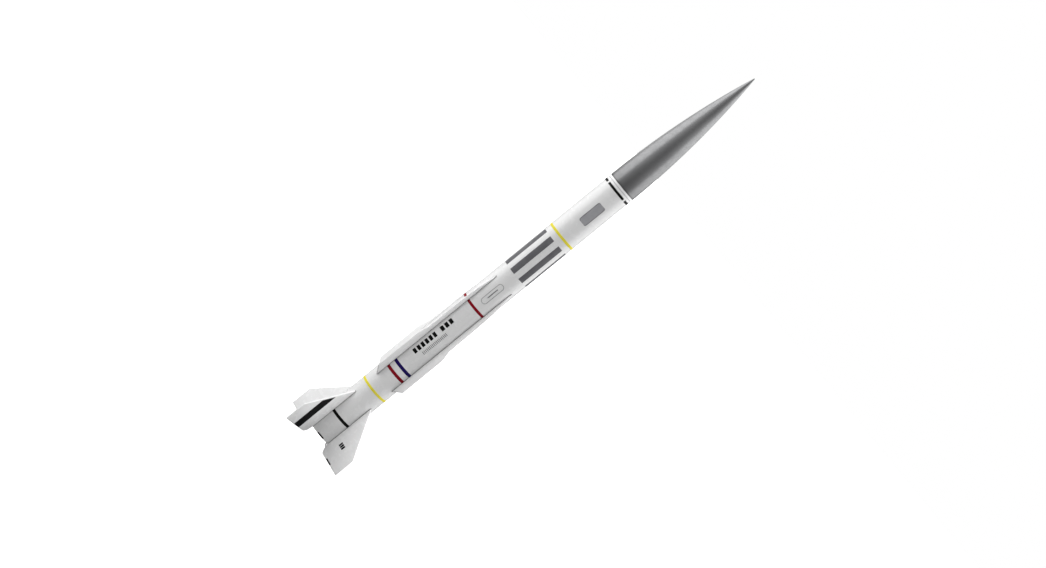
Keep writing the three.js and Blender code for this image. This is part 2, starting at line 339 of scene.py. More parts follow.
def round_edges(obj, width, segments, keep):
    """Rounds the sharp edges for which keep(edge's two points) is true."""
    with editing(obj.data) as bm:
        edges = [
            e for e in bm.edges
            if len(e.link_faces) == 2
            and e.calc_face_angle(0) > BEVEL_ANGLE
            and keep(e.verts[0].co, e.verts[1].co)
        ]
        bmesh.ops.bevel(
            bm, geom=edges, offset=width, segments=segments, profile=0.5, affect="EDGES",
            clamp_overlap=True,
        )


def tube_along(points, radius, sides):
    """A round tube along points, closed at both ends, with frames carried along."""
    verts, faces = [], []
    tangents = []
    for i in range(len(points)):
        a, b = points[max(i - 1, 0)], points[min(i + 1, len(points) - 1)]
        tangents.append((b - a).normalized())
    normal = tangents[0].orthogonal().normalized()
    for i, point in enumerate(points):
        normal = (normal - tangents[i] * normal.dot(tangents[i])).normalized()
        side = tangents[i].cross(normal)
        for k in range(sides):
            a = 2 * math.pi * k / sides
            verts.append(point + (normal * math.cos(a) + side * math.sin(a)) * radius)
    last = (len(points) - 1) * sides
    for start in range(0, last, sides):
        faces += ring_faces(start, start + sides, sides)
    faces += [tuple(reversed(range(sides))), tuple(last + k for k in range(sides))]
    return verts, faces


def smooth_path(points, per_span):
    """Points on a Catmull-Rom curve through points."""
    guides = [2 * points[0] - points[1]] + points + [2 * points[-1] - points[-2]]
    path = []
    for i in range(len(points) - 1):
        p0, p1, p2, p3 = guides[i:i + 4]
        for k in range(per_span):
            t = k / per_span
            path.append(0.5 * (
                2 * p1 + (p2 - p0) * t
                + (2 * p0 - 5 * p1 + 4 * p2 - p3) * t * t
                + (3 * p1 - p0 - 3 * p2 + p3) * t ** 3
            ))
    path.append(points[-1])
    return path


# ---- Material helpers ----


def add_node(tree, kind, **values):
    made = tree.nodes.new(kind)
    for key, value in values.items():
        setattr(made, key, value)
    return made


def map_range(tree, value, numbers, **values):
    """Maps a value from the first two of four numbers to the last two."""
    made = add_node(tree, "ShaderNodeMapRange", **values)
    tree.links.new(value, made.inputs["Value"])
    for socket, number in zip(("From Min", "From Max", "To Min", "To Max"), numbers):
        made.inputs[socket].default_value = number
    return made.outputs["Result"]


class Shader:
    """A Principled material and short ways to add nodes to it."""

    def __init__(self, name, color, roughness, metallic=0.0, coat=0.0, specular=0.5):
        self.material = bpy.data.materials.new(name)
        self.material.use_nodes = True
        self.tree = self.material.node_tree
        self.shader = self.tree.nodes["Principled BSDF"]
        self.set("Base Color", (*color, 1))
        self.set("Roughness", roughness)
        self.set("Metallic", metallic)
        self.set("Coat Weight", coat)
        self.set("Coat Roughness", 0.08)
        self.set("Specular IOR Level", specular)
        self.place = self.node("ShaderNodeTexCoord").outputs["Object"]

    def set(self, socket, value):
        self.shader.inputs[socket].default_value = value

    def node(self, kind, **values):
        return add_node(self.tree, kind, **values)

    def link(self, output, node, socket):
        self.tree.links.new(output, node.inputs[socket])

    def math(self, operation, a, b=0.0):
        made = self.node("ShaderNodeMath", operation=operation)
        for index, value in enumerate((a, b)):
            if isinstance(value, (int, float)):
                made.inputs[index].default_value = value
            else:
                self.link(value, made, index)
        return made.outputs[0]

    def stretched(self, scale):
        made = self.node("ShaderNodeMapping")
        self.link(self.place, made, "Vector")
        made.inputs["Scale"].default_value = scale
        return made.outputs[0]

    def noise(self, scale, detail=3.0, vector=None):
        made = self.node("ShaderNodeTexNoise")
        made.inputs["Scale"].default_value = scale
        made.inputs["Detail"].default_value = detail
        self.link(vector or self.place, made, "Vector")
        return made.outputs["Fac"]

    def ranged(self, value, *numbers):
        """A value eased from between two numbers to between two others."""
        return map_range(self.tree, value, numbers, interpolation_type="SMOOTHSTEP")

    def mix(self, factor, a, b):
        made = self.node("ShaderNodeMix", data_type="RGBA")
        self.link(factor, made, 0)
        for index, value in ((6, a), (7, b)):
            if isinstance(value, tuple):
                made.inputs[index].default_value = (*value, 1)
            else:
                self.link(value, made, index)
        return made.outputs[2]

    def color(self, output):
        self.link(output, self.shader, "Base Color")

    def roughness(self, output):
        self.link(output, self.shader, "Roughness")

    def bump(self, *layers):
        """Height layers as (output, depth in metres), stacked into one normal."""
        before = None
        for height, depth in layers:
            made = self.node("ShaderNodeBump")
            made.inputs["Strength"].default_value = 1
            made.inputs["Distance"].default_value = depth
            self.link(height, made, "Height")
            if before:
                self.link(before, made, "Normal")
            before = made.outputs[0]
        self.link(before, self.shader, "Normal")

    def helix(self, pitch):
        """0 to 1 across each turn of a strip wound round the axis."""
        split = self.node("ShaderNodeSeparateXYZ")
        self.link(self.place, split, 0)
        around = self.math("ARCTAN2", split.outputs[1], split.outputs[0])
        turn = self.math("DIVIDE", around, 2 * math.pi)
        rise = self.math("DIVIDE", split.outputs[2], pitch)
        return self.math("FRACT", self.math("ADD", self.math("SUBTRACT", rise, turn), 64))

    def seam(self, phase, width):
        """1 on a narrow line at the edge of each turn, 0 elsewhere."""
        near = self.math("ABSOLUTE", self.math("SUBTRACT", phase, 0.5))
        return self.ranged(near, 0.0, width, 1.0, 0.0)


def white_paint(name, level=0.82, grain=None, seam=False, root=None):
    """Gloss white paint, with what lies under it just showing through.

    Within a millimetre of a root's distance from the axis it is darkened with painted shade, the
    shadow line where a fin or strake meets the tube.
    """
    s = Shader(name, (level, level, level), 0.22, coat=0.2)
    cloud = s.noise(26, 4)
    dull, clear = (level - 0.01,) * 3, (level + 0.02,) * 3
    tone = s.mix(s.ranged(cloud, 0.35, 0.7, 0, 1), dull, clear)
    if root:
        split = s.node("ShaderNodeSeparateXYZ")
        s.link(s.place, split, 0)
        squares = [s.math("MULTIPLY", split.outputs[k], split.outputs[k]) for k in (0, 1)]
        away = s.math("SQRT", s.math("ADD", *squares))
        # Painted shade: dark grey on both sides of a blade's root, standing in for the shadow in
        # the joint.
        off_root_shade = s.ranged(away, root + 0.25 * MM, root + 0.95 * MM, 0, 1)
        tone = s.mix(off_root_shade, (0.13, 0.13, 0.135), tone)
    s.color(tone)
    s.roughness(s.ranged(s.noise(140, 3), 0.3, 0.7, 0.18, 0.30))
    layers = [(s.noise(900, 2), 0.000006)]
    if grain:
        layers.append((s.noise(60, 4, s.stretched(grain)), 0.00003))
    if seam:
        layers.append((s.seam(s.helix(0.094), 0.006), -0.00004))
        layers.append((s.noise(35, 3, s.stretched((1, 1, 0.2))), 0.00002))
    s.bump(*layers)
    return s.material


def silver_paint():
    """Silver-grey paint with fine flakes over moulded plastic."""
    s = Shader("nose_silver_paint", (0.18, 0.18, 0.183), 0.35, metallic=0.9, coat=0.05)
    s.set("Specular Tint", (1, 1, 1, 1))
    flakes = s.node("ShaderNodeTexVoronoi")
    flakes.inputs["Scale"].default_value = 5200
    s.link(s.place, flakes, "Vector")
    cloud = s.noise(20, 4)
    base = s.mix(s.ranged(cloud, 0.3, 0.7, 0, 1), (0.17, 0.171, 0.174), (0.19, 0.191, 0.194))
    spark = s.ranged(flakes.outputs["Distance"], 0.0, 0.5, 0.2, 0.0)
    s.color(s.mix(spark, base, (0.30, 0.30, 0.31)))
    s.roughness(s.ranged(s.noise(180, 3), 0.3, 0.7, 0.31, 0.39))
    s.bump((flakes.outputs["Distance"], 0.000003), (s.noise(700, 2), 0.000003))
    return s.material


def ink(name, color, lighter):
    """Printed film: a flat ink with faint print grain."""
    s = Shader(name, color, 0.4, specular=0.1)
    grain = s.noise(2600, 2)
    cloud = s.noise(70, 3)
    toned = s.mix(s.ranged(cloud, 0.35, 0.65, 0, 1), color, lighter)
    s.color(s.mix(s.ranged(grain, 0.55, 0.8, 0, 0.5), toned, lighter))
    s.roughness(s.ranged(s.noise(240, 3), 0.3, 0.7, 0.35, 0.48))
    s.bump((grain, 0.000004), (s.noise(500, 2), 0.000006))
    return s.material


def kraft_paper():
    s = Shader("kraft_paper", (0.36, 0.23, 0.12), 0.85, specular=0.25)
    fibres = s.noise(420, 5, s.stretched((1, 1, 0.3)))
    tone = s.mix(s.ranged(fibres, 0.3, 0.7, 0, 1), (0.27, 0.165, 0.08), (0.46, 0.31, 0.17))
    line = s.seam(s.helix(0.03), 0.02)
    s.color(s.mix(line, tone, (0.17, 0.10, 0.05)))
    s.bump((fibres, 0.00005), (line, -0.00008))
    return s.material


def ring_board():
    s = Shader("ring_board", (0.6, 0.44, 0.26), 0.7, specular=0.3)
    grain = s.noise(90, 6, s.stretched((1, 9, 4)))
    pores = s.noise(700, 3, s.stretched((1, 6, 3)))
    tone = s.mix(s.ranged(grain, 0.3, 0.72, 0, 1), (0.45, 0.31, 0.17), (0.70, 0.54, 0.34))
    s.color(s.mix(s.ranged(pores, 0.6, 0.75, 0, 0.6), tone, (0.33, 0.21, 0.11)))
    s.bump((grain, 0.00012), (pores, 0.00004))
    return s.material


def spring_steel():
    s = Shader("spring_steel", (0.48, 0.48, 0.49), 0.32, metallic=1.0)
    rolled = s.noise(300, 4, s.stretched((6, 1, 0.12)))
    blue = s.noise(45, 3)
    s.color(s.mix(s.ranged(blue, 0.45, 0.75, 0, 1), (0.5, 0.5, 0.505), (0.36, 0.37, 0.42)))
    s.roughness(s.ranged(rolled, 0.3, 0.7, 0.24, 0.42))
    s.bump((rolled, 0.00002))
    return s.material


def braid(name, dark, light, pitch):
    """A woven braid: two sets of strands that cross round a cord."""
    s = Shader(name, light, 0.9, specular=0.2)
    s.set("Sheen Weight", 0.3)
    split = s.node("ShaderNodeSeparateXYZ")
    s.link(s.place, split, 0)
    across = s.math("MULTIPLY", split.outputs[0], 2 * math.pi / pitch)
    along = s.math("MULTIPLY", split.outputs[2], 2 * math.pi / pitch)
    left = s.math("SINE", s.math("ADD", across, along))
    right = s.math("SINE", s.math("SUBTRACT", along, across))
    weave = s.math("MULTIPLY", left, right)
    # Painted shade: the strands go to the dark tone where the weave sinks, in the hollows between
    # them.
    s.color(s.mix(s.ranged(weave, -0.6, 0.6, 0, 1), dark, light))
    s.bump((weave, 0.00025), (s.noise(1800, 2), 0.00004))
    return s.material


def canopy_film():
    s = Shader("canopy_film", (0.72, 0.10, 0.02), 0.35, coat=0.1)
    crease = s.noise(160, 5, s.stretched((1, 1, 0.25)))
    # Painted shade: the film goes darker where the creases sink.
    tone = s.mix(s.ranged(crease, 0.35, 0.65, 0, 1), (0.58, 0.06, 0.012), (0.80, 0.14, 0.03))
    s.color(tone)
    s.roughness(s.ranged(s.noise(90, 3), 0.3, 0.7, 0.28, 0.45))
    s.bump((crease, 0.0003), (s.noise(900, 2), 0.00003))
    return s.material


def plug_plastic():
    s = Shader("plug_plastic", (0.33, 0.33, 0.34), 0.5)
    speck = s.noise(1200, 3)
    s.color(s.mix(s.ranged(speck, 0.4, 0.7, 0, 1), (0.31, 0.31, 0.32), (0.37, 0.37, 0.38)))
    s.roughness(s.ranged(s.noise(220, 3), 0.3, 0.7, 0.42, 0.58))
    s.bump((speck, 0.00002))
    return s.material


# Each look is a material and the name of its slot.
WHITE_TUBE = (white_paint("white_paint_on_paper", seam=True), "white_gloss")
# The fins and strakes wear the tube's white paint, painted lighter as painted light so that their
# faces read brighter, with painted shade along their roots.
WHITE_FIN_LIGHTER_AND_ROOT_SHADED = (
    white_paint("white_paint_on_fins_painted_lighter", 0.89, grain=(1, 1, 0.06), root=BLADE_ROOT), "white_gloss"
)
WHITE_LUG = (white_paint("white_paint_on_lugs"), "white_gloss")
SILVER = (silver_paint(), "nose_silver")
BLACK_INK = (ink("black_ink", (0.0015, 0.0015, 0.0015), (0.004, 0.004, 0.004)), "film_black")
YELLOW_INK = (ink("yellow_ink", (0.78, 0.68, 0.045), (0.84, 0.75, 0.08)), "film_yellow")
RED_INK = (ink("red_ink", (0.22, 0.002, 0.010), (0.26, 0.004, 0.015)), "film_red")
BLUE_INK = (ink("blue_ink", (0.010, 0.003, 0.085), (0.014, 0.005, 0.11)), "film_blue")
GREY_INK = (ink("grey_ink", (0.125, 0.125, 0.135), (0.15, 0.15, 0.158)), "film_grey")
PALE_INK = (ink("pale_grey_ink", (0.34, 0.34, 0.36), (0.38, 0.38, 0.40)), "film_pale_grey")
LINE_INK = (ink("line_grey_ink", (0.17, 0.17, 0.18), (0.21, 0.21, 0.22)), "film_grey")
KRAFT = (kraft_paper(), "kraft_paper")
BOARD = (ring_board(), "ring_board")
STEEL = (spring_steel(), "spring_steel")
ELASTIC = (
    braid("elastic_braid", (0.50, 0.47, 0.38), (0.82, 0.79, 0.70), 1.1 * MM), "elastic"
)
THREAD = (
    braid("line_thread", (0.55, 0.55, 0.52), (0.86, 0.86, 0.84), 0.5 * MM), "line_thread"
)
CANOPY = (canopy_film(), "canopy_film")
PLUG = (plug_plastic(), "plug_plastic")


# ---- Camera ----


def make_camera():
    """The camera stands a little to the left, level with the upper part of the rocket,
    and is rolled so that the rocket lies along the picture's rising diagonal."""
    near = Vector((math.cos(CAMERA_SIDE), math.sin(CAMERA_SIDE), 0))
    side = Vector((-math.sin(CAMERA_SIDE), math.cos(CAMERA_SIDE), 0))
    up = Vector((0, 0, 1))
    tilted_up = math.cos(CAMERA_TILT) * up - math.sin(CAMERA_TILT) * near
    right = math.cos(CAMERA_ROLL) * tilted_up + math.sin(CAMERA_ROLL) * side
    down = math.cos(CAMERA_ROLL) * side - math.sin(CAMERA_ROLL) * tilted_up
    data = bpy.data.cameras.new("camera")
    data.lens = CAMERA_LENS
    data.sensor_width = 36
    data.clip_start, data.clip_end = 0.1, 60
    camera = new_object("camera", data)
    place = Matrix((right, -down, right.cross(-down))).transposed().to_4x4()
    place.translation = near * CAMERA_DISTANCE + side * CAMERA_ACROSS + up * CAMERA_HEIGHT
    camera.matrix_world = place
    bpy.context.scene.camera = camera


# ---- Airframe ----


def body_tube():
    """The paper tube, with rings between its ends on the outside and in the bore."""
    inner = TUBE_R - TUBE_WALL
    top = NOSE_BASE - 0.04 * MM
    ends = rounded_box(inner, TUBE_R, TUBE_AFT, top, 0.12 * MM)
    steps = 60
    outer = [(TUBE_R, TUBE_AFT + (top - TUBE_AFT) * k / steps) for k in range(1, steps)]
    bore = [(inner, z) for _, z in reversed(outer)]
    profile = ends[:8] + outer + ends[8:] + bore
    add_object("airframe_tube", revolve(profile, 240), WHITE_TUBE, "airframe", "body_tube")


def blade(name, outline, azimuth, node):
    """A fin or strake: a flat blade with round edges on a thinner glue tab at its root."""
    plate = loose(name, slab(outline, SHEET))
    at_root = BLADE_ROOT + 0.1 * MM
    round_edges(plate, EDGE_ROUND, 4, lambda a, b: max(a.x, b.x) > at_root)
    round_edges(plate, 0.4 * MM, 3, lambda a, b: max(a.x, b.x) < at_root and abs(a.z - b.z) > MM)
    inner, outer = TUBE_R - 0.15 * MM, BLADE_ROOT + 0.8 * MM
    low = min(z for r, z in outline if r < at_root) + 0.3 * MM
    high = max(z for _, z in outline) - 0.4 * MM
    tab = [(inner, low), (outer, low), (outer, high - 0.8 * MM), (inner, high)]
    combine(plate, loose("tab", slab(tab, SHEET - 1.2 * MM)), "UNION")
    plate.data.transform(Matrix.Rotation(azimuth, 4, "Z"))
    finish_object(plate, WHITE_FIN_LIGHTER_AND_ROOT_SHADED, "airframe", [node])


def curve_points(start, control, end, steps):
    """Points on a quadratic curve, without its first point."""
    points = []
    for k in range(1, steps + 1):
        t = k / steps
        points.append(tuple(
            (1 - t) ** 2 * a + 2 * t * (1 - t) * b + t * t * c
            for a, b, c in zip(start, control, end)
        ))
    return points


def fin_outline():
    """The trailing edge is level, and curves up to the tube's end at its root."""
    start, heel = (BLADE_ROOT, TUBE_AFT - 1 * MM), (FIN_HEEL, 0)
    return (
        [(BLADE_ROOT, FIN_ROOT_FORE), start]
        + curve_points(start, (BLADE_ROOT + 1.6 * MM, 0), heel, 12)
        + [(FIN_SPAN, 0), (FIN_SPAN, FIN_TIP_FORE)]
    )


def strake_outline():
    """Distances from the axis against heights over the aft end, both in millimetres."""
    edge = [(33, 11), (33, 74), (28.8, 88), (28, 131), (27, 156), (25.5, 171)]
    return (
        [(BLADE_ROOT, STRAKE_AFT)]
        + [(r * MM, STRAKE_AFT + rise * MM) for r, rise in edge]
        + [(BLADE_ROOT, STRAKE_FORE)]
    )


def blades():
    for i, azimuth in enumerate(DIAGONALS):
        n = i + 1
        blade(f"tail_fin_{n}", fin_outline(), azimuth, f"fin_{n}")
        blade(f"side_strake_{n}", strake_outline(), azimuth, f"strake_{n}")


def glue_fillet(low, high, reach):
    """Glue between the tube and a lug, shorter and lower towards its sides."""
    half = 2.2 * MM
    columns = []
    for k in range(17):
        share = k / 8 - 1
        inset = 0.6 * MM + 3 * MM * abs(share) ** 3
        columns.append((share * half, low + inset, high - inset))
    verts, faces = wrapped(columns, FILM_LOW, reach + 0.25 * MM, math.pi / 2)
    for index, (x, y, z) in enumerate(verts):
        if math.hypot(x, y) > TUBE_R + 0.1 * MM:
            verts[index] = (x, y - 0.5 * MM * (x / half) ** 2, z)
    return verts, faces


def launch_lugs():
    for end in ("aft", "fore"):
        node = f"launch_lug_{end}"
        low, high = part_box(node)
        middle = (low.y + high.y) / 2
        outer = (high.x - low.x) / 2
        section = rounded_box(outer - PAPER_WALL, outer, low.z, high.z, 0.12 * MM)
        lug = loose(f"{node}_tube", revolve(section, 64))
        lug.data.transform(Matrix.Translation((0, middle, 0)))
        finish_object(lug, WHITE_LUG, "airframe", [node])
        fillet = glue_fillet(low.z, high.z, middle - outer)
        add_object(f"{node}_glue", fillet, WHITE_LUG, "airframe")


# ---- Nose cone ----


def nose_cone():
    """A hollow tangent ogive with a rounded tip, a shoulder and a faint mould line."""
    length, tip, wall = NOSE_TIP - NOSE_BASE, 0.8 * MM, 1.5 * MM
    reach = length - tip
    arc = (TUBE_R ** 2 - tip ** 2 + reach ** 2) / (2 * (TUBE_R - tip))
    open_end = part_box("nose_cone")[0].z
    shoulder = TUBE_R - TUBE_WALL - 0.3 * MM
    base = NOSE_BASE + 0.04 * MM

    def ogive(along, radius):
        return math.sqrt(radius ** 2 - along ** 2) + TUBE_R - arc

    inner_arc = arc - wall
    inner_end = math.sqrt(inner_arc ** 2 - (arc - TUBE_R) ** 2) - 0.5 * MM
    profile = [(0, NOSE_BASE + inner_end + 0.5 * MM)]
    for k in range(30, -1, -1):
        along = inner_end * math.sin(k / 30 * math.pi / 2)
        profile.append((min(ogive(along, inner_arc), shoulder - wall), NOSE_BASE + along))
    profile += [
        (shoulder - wall, open_end),
        (shoulder - 0.6 * MM, open_end),
        (shoulder, open_end + 1.2 * MM),
        (shoulder, base),
        (TUBE_R - 0.25 * MM, base),
        (TUBE_R - 0.08 * MM, base + 0.06 * MM),
        (TUBE_R, base + 0.25 * MM),
    ]
    stations = 90
    tangent = math.asin(reach / (arc - tip))
    for k in range(1, stations + 1):
        along = arc * math.sin(tangent * k / stations)
        profile.append((ogive(along, arc), NOSE_BASE + along))
    for k in range(1, 8):
        a = tangent + (math.pi / 2 - tangent) * k / 8
        profile.append((tip * math.cos(a), NOSE_BASE + reach + tip * math.sin(a)))
    profile.append((0, NOSE_TIP))

    def mould_line(around, height):
        near = min(abs(around), abs(around - math.pi), abs(around - 2 * math.pi))
        fade = min(1, max(0, (NOSE_TIP - height) / (30 * MM)))
        on = 1 if near < 0.009 and height > base + 0.1 * MM else 0
        return 0.05 * MM * on * fade

    add_object("nose_shell", revolve(profile, 256, mould_line), SILVER, "nose", "nose_cone")


def nose_plug():
    """The plug in the shoulder, with the eyelet that the cords tie to."""
    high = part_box("nose_plug")[1]
    radius, back = high.x, high.z
    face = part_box("nose_cone")[0].z
    rim, web, chamfer = 1.2 * MM, 0.9 * MM, 0.4 * MM
    section = [
        (0, face),
        (radius - chamfer, face),
        (radius, face + chamfer),
        (radius, back),
        (radius - rim, back),
        (radius - rim, face + web),
        (0, face + web),
    ]
    plug = loose("nose_plug_cap", revolve(section, 128))
    bar, reach, sunk = 1.3 * MM, 4.6 * MM, 0.8 * MM
    arch = []
    for k in range(33):
        a = math.pi * k / 32
        arch.append(Vector((0, reach * math.cos(a), face + sunk - reach * math.sin(a))))
    foot = Vector((0, 0, 0.3 * MM))
    arch = [arch[0] + foot] + arch + [arch[-1] + foot]
    combine(plug, loose("arch", tube_along(arch, bar, 20)), "UNION")
    finish_object(plug, PLUG, "nose", ["nose_plug"])


# ---- Motor mount ----


def motor_tube():
    """The tube that holds the motor, with a slit for the fore end of its hook."""
    low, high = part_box("motor_tube")
    section = rounded_box(high.x - PAPER_WALL, high.x, low.z, high.z, 0.08 * MM)
    tube = loose("motor_tube_wall", revolve(section, 160))
    half, hook_top = 1.9 * MM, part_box("engine_hook_strip")[1].z
    slit = rectangle(-half, half, hook_top - 0.9 * MM, hook_top + 0.3 * MM)
    place = Matrix.Translation((0, -high.x, 0))
    combine(tube, loose("slit", slab(slit, 3 * MM, place)), "DIFFERENCE")
    finish_object(tube, KRAFT, "airframe", ["motor_tube"])


def paper_ring(node, inner, edge):
    low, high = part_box(node)
    section = rounded_box(inner, high.x, low.z, high.z, edge)
    add_object(f"{node}_paper", revolve(section, 128), KRAFT, "airframe", node)


def centering_ring(end, mouth_width, mouth_reach, side):
    """A ring of board round the motor tube, with a mouth on one side."""
    node = f"centering_ring_{end}"
    low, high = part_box(node)
    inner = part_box("motor_tube")[1].x
    section = rounded_box(inner + 0.3 * MM, high.x, low.z, high.z, 0.2 * MM)
    ring = loose(f"{node}_board", revolve(section, 144))
    half, near = mouth_width / 2, inner - 2 * MM
    mouth = rectangle(-half, half, low.z - MM, high.z + MM)
    place = Matrix.Translation((0, side * (near + mouth_reach) / 2, 0))
    combine(ring, loose("mouth", slab(mouth, mouth_reach - near, place)), "DIFFERENCE")
    finish_object(ring, BOARD, "airframe", [node])


def motor_mount():
    """The motor tube and its rings. The hook passes the aft board, the cord the fore one."""
    motor_tube()
    paper_ring("thrust_ring", inner=10.6 * MM, edge=0.15 * MM)
    paper_ring("hook_band", inner=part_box("hook_band")[1].x - PAPER_WALL, edge=0.08 * MM)
    centering_ring("aft", mouth_width=5.2 * MM, mouth_reach=17 * MM, side=-1)
    centering_ring("fore", mouth_width=4.6 * MM, mouth_reach=17.2 * MM, side=1)


def hook_path():
    """The hook's middle line, as (distance from the axis, height), from its fore end aft."""
    mid = HOOK_REACH
    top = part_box("engine_hook_strip")[1].z - HOOK_THICK
    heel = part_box("motor_tube")[0].z - 0.8 * MM
    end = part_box("engine_hook_arm")[0].z
    tongue, tab, bend = 10.95 * MM, 9.3 * MM, 1.1 * MM
    start, stop = top - bend, heel + bend
    straight = 24
    path = [(tongue, top), (mid - bend, top)]
    path += curve_points((mid - bend, top), (mid, top), (mid, start), 6)
    path += [(mid, start + (stop - start) * k / straight) for k in range(1, straight + 1)]
    path += curve_points((mid, stop), (mid, heel), (mid - bend, heel), 6)
    path.append((tab + bend, heel))
    path += curve_points((tab + bend, heel), (tab, heel), (tab, heel - bend), 6)
    return path + [(tab, end + 0.8 * MM), (tab, end)]


def engine_hook():
    """One strip of spring steel with round bends; its aft arm runs down to the end of the hook's
    arm part.
    """
    path = hook_path()
    half, thick = 1.6 * MM, HOOK_THICK
    last = len(path) - 1
    verts, faces = [], []
    for i, (r, z) in enumerate(path):
        a, b = path[max(i - 1, 0)], path[min(i + 1, last)]
        dr, dz = b[0] - a[0], b[1] - a[1]
        length = math.hypot(dr, dz)
        nr, nz = -dz / length * thick, dr / length * thick
        w = half * (0.72 if i in (0, last) else 1)
        for side, out in ((-1, 1), (1, 1), (1, -1), (-1, -1)):
            verts.append((side * w, -(r + out * nr), z + out * nz))
    for i in range(last):
        faces += ring_faces(4 * i, 4 * i + 4, 4)
    faces += [(3, 2, 1, 0), tuple(4 * last + k for k in range(4))]
    hook = loose("engine_hook_spring", (verts, faces))
    round_edges(hook, 0.12 * MM, 2, lambda a, b: abs(a.z - b.z) > 1e-6 or abs(a.y - b.y) > 1e-6)
    finish_object(hook, STEEL, None, ["engine_hook_strip", "engine_hook_arm"])
    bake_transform(hook)


# ---- Recovery gear ----


CORD_ROUTE = [
    (0, 14.9, 102.8),
    (0, 15.4, 113),
    (-6, 16.2, 124),
    (-11, 13.4, 136),
    (-6, 16.2, 148),
    (6, 16.2, 158),
    (11, 13.4, 170),
    (6, 16.2, 182),
    (-6, 16.2, 192),
    (-11, 13.4, 204),
    (-6, 16.2, 216),
    (6, 16.2, 226),
    (11, 13.4, 238),
    (6, 16.2, 250),
    (-4, 16.8, 262),
    (-2, 17, 280),
    (2, 16.8, 310),
    (-2, 16.8, 345),
    (2, 16.8, 380),
    (0, 16.4, 406),
    (0, 12, 420),
    (0, 5.5, 429),
    (0, 2.4, 439.6),
]
LINES_ROUTE = [(0, -3, 410.3), (0, -6, 420), (0, -5.5, 430), (0, -2.6, 439.6)]


def coil(turns, per_turn, point):
    """Points along some turns, from a function of the angle and the share of the way."""
    count = turns * per_turn
    return [Vector(point(2 * math.pi * k / per_turn, k / count)) for k in range(count + 1)]


def shock_cord():
    """The elastic cord, which stretches between the motor mount and the nose's eyelet."""
    points = [Vector(p) * MM for p in CORD_ROUTE]
    path = smooth_path(points, 9)
    cord = loose("shock_cord_elastic", tube_along(path, 1.45 * MM, 16))
    finish_object(cord, ELASTIC, None, ["shock_cord"])
    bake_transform(cord)


def cord_tie():
    """Turns of the cord round the motor tube, and a knot where it leaves them."""
    low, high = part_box("cord_tie")

    def turn(a, share):
        around = a + math.pi / 2
        r = 14.4 * MM + 0.25 * MM * math.sin(5 * around)
        rise = low.z + 0.9 * MM + (high.z - low.z - 1.8 * MM) * share
        return r * math.cos(around), r * math.sin(around), rise

    def knot(a, share):
        return (
            1.2 * MM * math.cos(a),
            15.2 * MM + 0.9 * MM * math.sin(a),
            high.z - 1.6 * MM + 1.1 * MM * math.sin(a / 2),
        )

    solid = joined([
        tube_along(coil(3, 48, turn), 0.9 * MM, 12),
        tube_along(coil(2, 24, knot), 0.8 * MM, 12),
    ])
    add_object("cord_tie_turns", solid, ELASTIC, "airframe", "cord_tie")


def eyelet_knot():
    """The cord's knot on the plug's eyelet."""
    eyelet_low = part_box("nose_plug")[0].z

    def loop(a, share):
        return (
            2.1 * MM * math.cos(a),
            2.4 * MM + 0.5 * MM * math.sin(a / 2),
            eyelet_low + 1.2 * MM + 2.1 * MM * math.sin(a),
        )

    solid = tube_along(coil(2, 30, loop), 0.75 * MM, 12)
    add_object("cord_eye_knot", solid, ELASTIC, "nose")


def canopy():
    """The parachute's canopy, folded to a strip and rolled."""
    low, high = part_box("parachute_roll")
    middle = (low.y + high.y) / 2
    outer = (high.x - low.x) / 2 - 0.15 * MM
    core = 2 * MM
    height = high.z - low.z - 1 * MM
    area = HEXAGON * CANOPY_ACROSS ** 2
    pitch = math.pi * (outer ** 2 - core ** 2) / (area / height)
    per_turn, rows = 28, 5
    count = int((outer - core) / pitch * per_turn)
    verts, faces = [], []
    for i in range(count + 1):
        a = 2 * math.pi * i / per_turn
        r = core + pitch * i / per_turn
        for k in range(rows):
            z = low.z + 0.5 * MM + height * k / (rows - 1)
            if k in (0, rows - 1):
                z += 0.35 * MM * noise(Vector((i * 0.11, k * 3.0, 0.4)))
            verts.append((r * math.cos(a), middle + r * math.sin(a), z))
    for i in range(count):
        for k in range(rows - 1):
            a, b = i * rows + k, (i + 1) * rows + k
            faces.append((a, b, b + 1, a + 1))
    rolled = add_object("canopy_rolled", (verts, faces), CANOPY, "nose", "parachute_roll")


def shroud_lines():
    """The lines, wound round the roll, and their twisted run to the eyelet."""
    low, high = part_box("shroud_line_wrap")
    middle = (low.y + high.y) / 2
    radius = (high.x - low.x) / 2 - 0.45 * MM

    def winding(a, share):
        r = radius + 0.08 * MM * math.sin(a * 3.3)
        rise = low.z + 0.5 * MM + (high.z - low.z - MM) * share
        return r * math.cos(a), middle + r * math.sin(a), rise

    solid = tube_along(coil(22, 40, winding), 0.42 * MM, 8)
    add_object("shroud_lines_wound", solid, THREAD, "nose", "shroud_line_wrap")

    path = smooth_path([Vector(p) * MM for p in LINES_ROUTE], 14)
    lines, twist = 6, 30
    strands = []
    for line in range(lines):
        strand = []
        for k, p in enumerate(path):
            a = 2 * math.pi * (line / lines + k / twist)
            strand.append(p + Vector((math.cos(a), math.sin(a), 0)) * 0.72 * MM)
        strands.append(tube_along(strand, 0.36 * MM, 8))
    add_object("shroud_lines_run", joined(strands), THREAD, "nose", "shroud_line_run")


# ---- Films and print on the tube ----


def ring_band(name, low, high, look, *nodes):
    section = rounded_box(FILM_LOW, FILM_HIGH, low, high, 0.03 * MM)
    add_object(name, revolve(section, 240), look, "airframe", *nodes)


